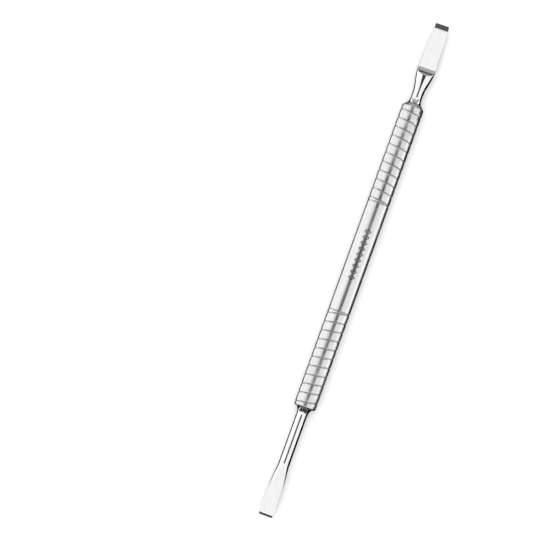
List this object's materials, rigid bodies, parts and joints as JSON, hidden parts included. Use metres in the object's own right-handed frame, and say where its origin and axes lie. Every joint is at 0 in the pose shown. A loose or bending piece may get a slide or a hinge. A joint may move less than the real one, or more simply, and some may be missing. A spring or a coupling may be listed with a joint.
{
  "type": "cuticle pusher",
  "caption": "Double-ended steel cuticle pusher: a spoon-shaped pusher and a flat scraper, each on a polished neck, in a satin round handle with helical grip grooves.",
  "frame": {"origin": "under the middle of the tool, on the surface that its handle rests on", "axes": "+X along the tool towards the spoon's edge, +Z out of the front, which both working faces look towards, and Y across the blades"},
  "size_m": [0.14, 0.006, 0.006],
  "materials": {
    "satin_steel": "bead-blasted satin stainless steel",
    "mirror_steel": "mirror-polished bare stainless steel, not plated",
    "braze_alloy": "silver braze filler metal, hidden inside the sockets"
  },
  "bodies": {
    "root": {"handle_bar": "satin_steel", "spoon_tip": "mirror_steel", "scraper_tip": "mirror_steel", "spoon_braze_ring": "braze_alloy", "scraper_braze_ring": "braze_alloy"}
  },
  "joints": []
}
